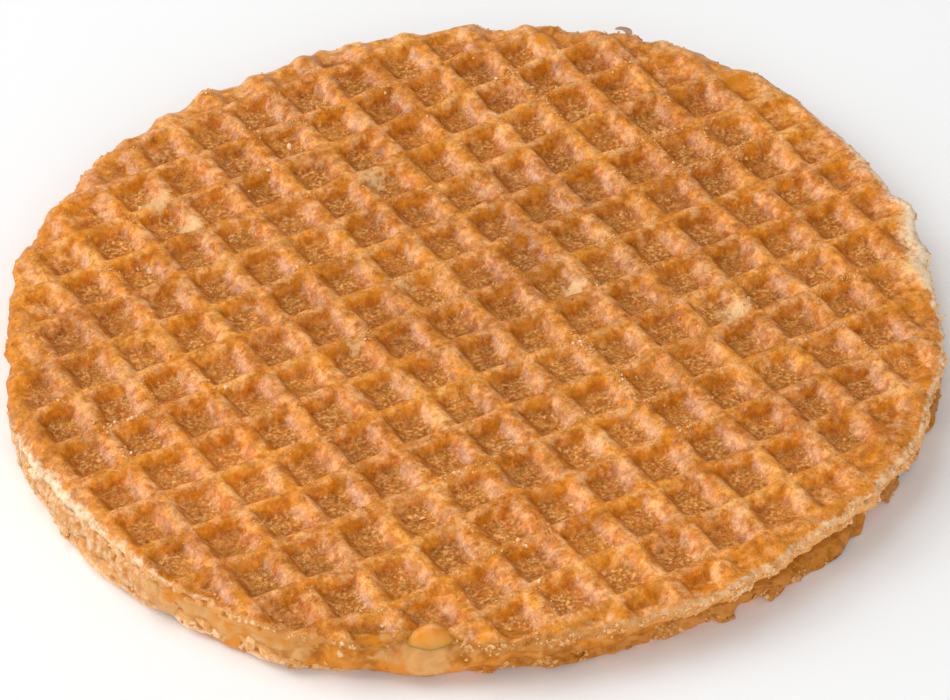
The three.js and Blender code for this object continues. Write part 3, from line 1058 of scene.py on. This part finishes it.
class BISCUIT_OT_crumbs(Operator):
    """Scatter the crumbs and sugar grains that lie on the upper wafer and cling to the rims"""

    bl_idname = "biscuit.scatter_crumbs"
    bl_label = "Crumbs"

    def execute(self, context):
        colours = context.scene.biscuit_colours
        amounts = context.scene.biscuit_crumbs
        wafer = context.scene.objects["upper_wafer"].data
        points, normals, row = surface(wafer)
        sunk = read_values(wafer, "sunk")
        face = row == 0
        x, y, _ = points.T
        clumps = np.clip(swell(x, y, 0, 2.2, 83) + 0.1, 0.03, 1.0) ** 2.0
        patchy = np.clip(swell(x, y, 0, 6.0, 81) + 0.4, 0.03, 1.0) * clumps
        busy = 0.35 + spots(x, y, CRUMBY_SPOTS)
        crest = face * np.exp(-((sunk / 0.25) ** 2)) * patchy * busy
        floor = face * limited(sunk - 0.4) * patchy * busy
        rim = ((row > 0) & (row < RIM_ROWS)) * (0.2 + clumps) * read_values(wafer, "pale")
        tidy = by_heading(UPPER.polar(x, y)[1], TIDY)
        rim = rim * read_values(wafer, "crumb") ** 2 * limited(1.0 - tidy)
        lying = crest + 0.5 * floor
        # Name, where they lie, how many, the least and the most of their half size, and two colours.
        kinds = (
            ("crumbs_pale", lying, amounts.pale, 0.06, 0.2, colours.grain, colours.unbaked),
            ("crumbs_golden", lying, amounts.golden, 0.06, 0.24, colours.crest, colours.grain),
            ("crumbs_rim", rim, amounts.rim, 0.08, 0.3, colours.toast, colours.unbaked),
        )
        for number, (name, weights, count, least, most, dark, light) in enumerate(kinds):
            rng = np.random.default_rng(CRUMB_SEED + number)
            chosen = pick(weights, count, rng)
            size = least + (most - least) * rng.uniform(size=count) ** 2.5
            places = points[chosen] + normals[chosen] * size[:, None] * 0.2
            mesh = scatter(name, places, size, rng, (0.5, 1.3), splinters(24, 12, rng))
            finish_piece(name, mesh, crumb_finish(name, dark, light), smooth=False)
        rng = np.random.default_rng(CHUNK_SEED)
        nearest = [np.argmin(np.hypot(x - place[0], y - place[1]) + 99.0 * (row > 0)) for place in CHUNKS]
        chosen = np.concatenate([nearest, pick(crest + floor, amounts.chunks, rng)])
        size = np.concatenate([[place[2] for place in CHUNKS], rng.uniform(0.14, 0.3, amounts.chunks)])
        places = points[chosen] + normals[chosen] * size[:, None] * 0.4
        mesh = scatter("crumb_chunks", places, size, rng, (0.5, 1.2), splinters(12, 18, rng))
        finish = crumb_finish("crumb_chunks", colours.unbaked, colours.cream)
        finish_piece("crumb_chunks", mesh, finish, smooth=False)
        return {"FINISHED"}


# What clings to the rims: heading, spread, height, spread of the height, how many, the least and the most
# of their half size, and their kind.
LUMPS = (
    (-176, 12, 2.2, 1.4, 16, 0.3, 0.6, "dough"),
    (-150, 8, 2.6, 1.6, 6, 0.3, 0.6, "dough"),
    (-72, 32, 4.8, 0.9, 900, 0.07, 0.28, "fluff"),
    (-121, 1.2, 3.8, 1.2, 34, 0.12, 0.45, "fluff"),
    (-111, 8, 5.0, 0.7, 90, 0.08, 0.26, "fluff"),
    (-140, 12, 5.4, 0.6, 70, 0.08, 0.28, "fluff"),
    (-28, 6, 5.0, 1.0, 40, 0.08, 0.3, "fluff"),
    (-172, 10, 2.2, 1.3, 160, 0.08, 0.26, "fluff"),
    (78, 42, 5.7, 0.5, 260, 0.06, 0.26, "golden"),
    (-68, 34, 1.0, 1.0, 300, 0.08, 0.35, "golden"),
    (-118, 20, 0.8, 0.8, 160, 0.08, 0.36, "golden"),
)


class BISCUIT_OT_lumps(Operator):
    """Make the lumps of dough and the torn crumbs that cling to the rims"""

    bl_idname = "biscuit.make_lumps"
    bl_label = "Rim lumps"

    def execute(self, context):
        colours = context.scene.biscuit_colours
        points = []
        normals = []
        for name, first, last in (
            ("upper_wafer", 1, RIM_ROWS), ("lower_wafer", 1, RIM_ROWS), ("syrup_layer", 2, SYRUP_ROWS - 2)
        ):
            places, outward, row = surface(context.scene.objects[name].data)
            on_rim = (row >= first) & (row <= last)
            points.append(places[on_rim])
            normals.append(outward[on_rim])
        points = np.concatenate(points)
        normals = np.concatenate(normals)
        x, y, z = points.T
        turn = UPPER.polar(x, y)[1]
        clumps = np.clip(swell(x, y, z, 1.8, 91) + 0.25, 0.02, 1.0) ** 2
        rng = np.random.default_rng(LUMP_SEED)
        # Shapes, their roughness and stretch, how far out they sit in half sizes, and two colours.
        kinds = {
            "dough": (ball(3), 0.45, (0.7, 1.2), -0.45, colours.toast, colours.unbaked),
            "fluff": (splinters(24, 14, rng), 0.0, (0.5, 1.3), 0.1, colours.toast, colours.unbaked),
            "golden": (splinters(24, 14, rng), 0.0, (0.5, 1.3), 0.1, colours.caramel, colours.grain),
        }
        for kind, (shapes, rough, stretch, stand_off, dark, light) in kinds.items():
            places = []
            halves = []
            for heading, spread, height, rise, count, least, most, own in LUMPS:
                if own != kind:
                    continue
                near = by_heading(turn, ((heading, 1.0, spread),)) * np.exp(-(((z - height) / rise) ** 2))
                chosen = pick(near * clumps + 1e-9, count, rng)
                half = least + (most - least) * rng.uniform(size=count) ** 2.0
                place = points[chosen] + normals[chosen] * half[:, None] * stand_off
                place[:, 2] = np.maximum(place[:, 2], half)
                places.append(place)
                halves.append(half)
            name = "lumps_" + kind
            mesh = scatter(name, np.concatenate(places), np.concatenate(halves), rng, stretch, shapes, rough)
            finish_piece(name, mesh, crumb_finish(name, dark, light), smooth=kind == "dough")
        return {"FINISHED"}


# Thin flakes of skin that stand off the rims: the root's x, y and z, the length and width, the heading
# it points to, how steeply it rises there, how far it curls up, and how far it is turned on edge,
# in mm and degrees.
FLAKES = (
    (38.6, 32.5, 5.7, 1.8, 0.65, 150, 72, -95, 90),
    (36.6, 33.8, 5.7, 0.5, 0.25, 130, 30, 40, 60),
    (43.4, -17.3, 5.0, 0.4, 0.08, -25, 8, 20, 0),
    (43.3, -17.8, 4.8, 0.35, 0.08, -40, 4, -20, 0),
    (41.2, -23.7, 4.0, 0.4, 0.1, -28, 6, 20, 0),
    (-23.4, -42.0, 1.1, 0.7, 0.35, -112, -8, 40, 30),
    (-29.3, -38.1, 0.9, 0.7, 0.35, -132, -5, -30, 30),
)
FLAKE_THICKNESS = 0.12


def curled(along, across, length, width, curl, twist):
    """A place on a flake that lies along +X: its share of the way out and across, bent up into an arc."""
    width = width * (1.0 - 0.85 * along**1.5) * (1.0 + 0.15 * np.sin(9.0 * along))
    bend = np.radians(curl)
    radius = length / bend
    turned = np.radians(twist)
    off_arc = width * across * np.sin(turned) + 0.4 * width * across * across
    return Vector((
        radius * np.sin(bend * along) - off_arc * np.sin(bend * along),
        width * across * np.cos(turned),
        radius * (1.0 - np.cos(bend * along)) + off_arc * np.cos(bend * along),
    ))


class BISCUIT_OT_flakes(Operator):
    """Make the curled flakes and slivers of skin that stand off the rims"""

    bl_idname = "biscuit.make_flakes"
    bl_label = "Flakes"

    def execute(self, context):
        bm = bmesh.new()
        for x, y, z, length, width, heading, rise, curl, twist in FLAKES:
            place = Matrix.Translation((x, y, z))
            turn = Euler((0.0, -np.radians(rise), np.radians(heading))).to_matrix().to_4x4()
            grid = bmesh.ops.create_grid(bm, x_segments=14, y_segments=4, size=0.5)
            for vert in grid["verts"]:
                bent = curled(vert.co.x + 0.5, vert.co.y, length, width, curl, twist)
                vert.co = place @ turn @ bent * MM
            faces = list(dict.fromkeys(face for vert in grid["verts"] for face in vert.link_faces))
            bmesh.ops.solidify(bm, geom=faces, thickness=FLAKE_THICKNESS * MM)
        bmesh.ops.recalc_face_normals(bm, faces=list(bm.faces))
        mesh = new_mesh("flakes", bm)
        write_values(mesh, "tone", np.full(len(mesh.vertices), 0.5))
        colours = context.scene.biscuit_colours
        thin = {"Subsurface_Weight": 0.8, "Subsurface_Radius": (1.0, 0.8, 0.5), "Subsurface_Scale": 0.001}
        finish = crumb_finish("flakes", colours.grain, colours.unbaked, 0.4, **thin)
        finish_piece("flakes", mesh, finish)
        return {"FINISHED"}


SYRUP_SEGMENTS = 1400
SYRUP_ROWS = 14
TUCK = 1.4  # how far the syrup lies inside the rims where it doesn't ooze


def syrup_points(angle, row, sizes):
    """The outside of the syrup: tucked in between the wafers, and swelling out over them where it oozes.

    The first and the last row are the rings that its flat faces start from.
    """
    ooze = share_by_heading(angle, OOZE)
    soaked = share_by_heading(angle, SOAKED)
    swells = by_heading(angle, SWELLS)
    up = limited((row - 1.0) / (SYRUP_ROWS - 2.0))
    round_out = np.sin(np.pi * up)
    inner = (row < 0.5) | (row > SYRUP_ROWS - 0.5)
    gap_bottom = sizes.wafer / MM - 0.1
    gap_top = (sizes.wafer + sizes.syrup) / MM + 2 * GAP + 0.1
    middle = (gap_bottom + gap_top) / 2
    half = (gap_top - gap_bottom) / 2 + 0.9 * ooze + swells
    z = middle - swells - half * np.cos(np.pi * up)
    reaches = []
    for layer in (UPPER, LOWER):
        dx = layer.centre[0] - FILLING.centre[0]
        dy = layer.centre[1] - FILLING.centre[1]
        reaches.append(layer.rim(angle) + dx * np.cos(angle) + dy * np.sin(angle))
    tucked = np.minimum(*reaches) - TUCK + 0.5 * ooze
    full = reaches[1] + (reaches[0] - reaches[1]) * eased(up)
    radius = tucked + (full - tucked) * ooze * round_out**0.5
    x, y = radius * np.cos(angle), radius * np.sin(angle)
    smooth = 0.4 * swell(x, y, z, 3.0, 31) + 0.25 * swell(x, y, z, 1.2, 32)
    rough, holes = crumb_noise(x, y, z, 33)
    radius = radius + by_heading(angle, BULGES) * round_out**0.7
    radius = radius + (0.3 + 0.7 * round_out) * (smooth + soaked * (0.3 + 0.4 * (rough - 1.5 * holes)))
    radius = np.where(inner, tucked - INNER_RING, radius)
    z = np.where(inner, np.where(row < 0.5, gap_bottom, gap_top), z)
    x = FILLING.centre[0] + radius * np.cos(angle)
    return np.column_stack([x, FILLING.centre[1] + radius * np.sin(angle), z])


def add_drop(bm):
    """A ball drawn into a bead: narrow at its ends, sagging over the rim and hanging out below.

    Its attribute "drop" rises from below 1 at its foot to 2 at its top, and is 0 on the rest of the syrup.
    """
    drop_of = bm.verts.layers.float.new("drop")
    heading = np.radians(DROP_HEADING)
    place = Matrix.Translation((
        (UPPER.centre[0] + DROP_OUT * np.cos(heading)) * MM,
        (UPPER.centre[1] + DROP_OUT * np.sin(heading)) * MM,
        DROP_HEIGHT * MM,
    ))
    stretch = Matrix.Diagonal((*[half * MM for half in DROP_HALVES], 1.0))
    turn = Euler((0, 0, heading)).to_matrix().to_4x4()
    drop = bmesh.ops.create_uvsphere(bm, u_segments=48, v_segments=32, radius=1.0)
    for vert in drop["verts"]:
        out, along, up = vert.co
        left, right = max(-along, 0.0), max(along, 0.0)
        narrow = max(1.0 - left, 0.0) ** 0.25 * (1.0 - 0.35 * right)
        sag = 1.15 * left**1.7 + 0.8 * right**2
        below = 1.0 if up > 0.0 else 2.0 - 1.2 * abs(along)
        vert[drop_of] = 1.0 + (up**2 if up > 0.0 else up)
        vert.co = (out * narrow, along * (1.12 if left else 0.9), up * narrow * below - sag)
        vert.co = place @ turn @ stretch @ vert.co


class BISCUIT_OT_syrup(Operator):
    """Make the layer of syrup and the drop that ran over the rim"""

    bl_idname = "biscuit.make_syrup"
    bl_label = "Syrup"

    def execute(self, context):
        bm = bmesh.new()
        bmesh.ops.create_circle(bm, segments=SYRUP_SEGMENTS, radius=MEAN_RADIUS)
        add_rows(bm, range(1, SYRUP_ROWS + 1))
        mesh = new_mesh("syrup", bm)
        points = read_points(mesh)
        angle = np.arctan2(points[:, 1], points[:, 0])
        points = syrup_points(angle, read_values(mesh, "row"), context.scene.biscuit_sizes)
        write_points(mesh, points * MM)
        write_values(mesh, "soaked", share_by_heading(angle, SOAKED))
        write_values(mesh, "doughy", share_by_heading(angle, DOUGHY))
        bm = bmesh.new()
        bm.from_mesh(mesh)
        add_drop(bm)
        bmesh.ops.recalc_face_normals(bm, faces=list(bm.faces))
        bm.to_mesh(mesh)
        bm.free()
        finish_piece("syrup_layer", mesh, syrup_finish(context.scene.biscuit_colours), "syrup")
        return {"FINISHED"}


CAMERA_AIM = (-2.94, -5.89, 5.8)
CAMERA_AZIMUTH = -29.54
CAMERA_ELEVATION = 38.73
CAMERA_ROLL = -1.15
CAMERA_DISTANCE = 508.9
CAMERA_LENS = 194.5
CAMERA_SENSOR = 36.0

# The three soft lights, and the floor, in metres: the side of a light's square, and where it stands.
LIGHTS = {
    "key": (0.6, (-0.56, 0.5, 0.36)),
    "top": (0.8, (-0.25, 0.35, 0.75)),
    "front": (0.5, (-0.28, -0.7, 0.38)),
}
FLOOR_HALF = 3.0


def camera_matrix():
    azimuth, elevation, roll = np.radians([CAMERA_AZIMUTH, CAMERA_ELEVATION, CAMERA_ROLL])
    back = Vector((
        np.sin(azimuth) * np.cos(elevation), -np.cos(azimuth) * np.cos(elevation), np.sin(elevation)
    ))
    level = Vector((np.cos(azimuth), np.sin(azimuth), 0.0))
    upright = back.cross(level)
    across = np.cos(roll) * level + np.sin(roll) * upright
    up = -np.sin(roll) * level + np.cos(roll) * upright
    eye = (Vector(CAMERA_AIM) + back * CAMERA_DISTANCE) * MM
    turn = Matrix((across, up, back)).transposed().to_4x4()
    return Matrix.Translation(eye) @ turn


def add_floor(colour_of_floor):
    bm = bmesh.new()
    bmesh.ops.create_grid(bm, x_segments=1, y_segments=1, size=FLOOR_HALF)
    mesh = new_mesh("floor", bm)
    n = Nodes("plain_floor")
    n.feed(n.shader, "Base Color", colour_of_floor)
    n.feed(n.shader, "Roughness", 0.9)
    mesh.materials.append(n.material)
    floor = bpy.data.objects.new("floor", mesh)
    bpy.context.scene.collection.objects.link(floor)


class BISCUIT_OT_stage(Operator):
    """Make the plain floor, the soft lights and the camera"""

    bl_idname = "biscuit.make_stage"
    bl_label = "Stage"

    def execute(self, context):
        scene = context.scene
        stage = scene.biscuit_stage
        scene.view_settings.view_transform = "Standard"
        add_floor(stage.floor)
        for name, (size, place) in LIGHTS.items():
            light = bpy.data.lights.new(name, "AREA")
            light.energy = getattr(stage, name)
            light.size = size
            lamp = bpy.data.objects.new(name, light)
            lamp.location = place
            lamp.rotation_euler = Vector(place).to_track_quat("Z", "Y").to_euler()
            scene.collection.objects.link(lamp)
        scene.world = bpy.data.worlds.new("even_light")
        scene.world.use_nodes = True
        even_light = scene.world.node_tree.nodes["Background"]
        even_light.inputs["Color"].default_value = (1.0, 1.0, 1.0, 1.0)
        even_light.inputs["Strength"].default_value = stage.fill
        lens = bpy.data.cameras.new("camera")
        lens.lens = CAMERA_LENS
        lens.sensor_width = CAMERA_SENSOR
        lens.clip_start = 0.01
        camera = bpy.data.objects.new("camera", lens)
        camera.matrix_world = camera_matrix()
        scene.collection.objects.link(camera)
        scene.camera = camera
        return {"FINISHED"}


class BISCUIT_PT_panel(Panel):
    """Lists the biscuit's sizes, colours and parts"""

    bl_label = "Biscuit"
    bl_idname = "BISCUIT_PT_panel"
    bl_space_type = "VIEW_3D"
    bl_region_type = "UI"
    bl_category = "Biscuit"

    def draw(self, context):
        layout = self.layout
        for group in (getattr(context.scene, name) for name in GROUPS):
            box = layout.box()
            for name in group.__annotations__:
                box.prop(group, name)
        for operator in OPERATORS:
            layout.operator(operator.bl_idname)


GROUPS = {
    "biscuit_sizes": BiscuitSizes,
    "biscuit_colours": BiscuitColours,
    "biscuit_crumbs": BiscuitCrumbs,
    "biscuit_stage": BiscuitStage,
}
OPERATORS = (
    BISCUIT_OT_wafers, BISCUIT_OT_syrup, BISCUIT_OT_lumps, BISCUIT_OT_flakes, BISCUIT_OT_crumbs,
    BISCUIT_OT_stage,
)


def register():
    for name, group in GROUPS.items():
        bpy.utils.register_class(group)
        setattr(bpy.types.Scene, name, PointerProperty(type=group))
    for item in (*OPERATORS, BISCUIT_PT_panel):
        bpy.utils.register_class(item)


def unregister():
    for item in (BISCUIT_PT_panel, *reversed(OPERATORS)):
        bpy.utils.unregister_class(item)
    for name, group in GROUPS.items():
        delattr(bpy.types.Scene, name)
        bpy.utils.unregister_class(group)


def main():
    register()
    bpy.ops.biscuit.make_wafers()
    bpy.ops.biscuit.make_syrup()
    bpy.ops.biscuit.make_lumps()
    bpy.ops.biscuit.make_flakes()
    bpy.ops.biscuit.scatter_crumbs()
    bpy.ops.biscuit.make_stage()


if __name__ == "__main__":
    main()
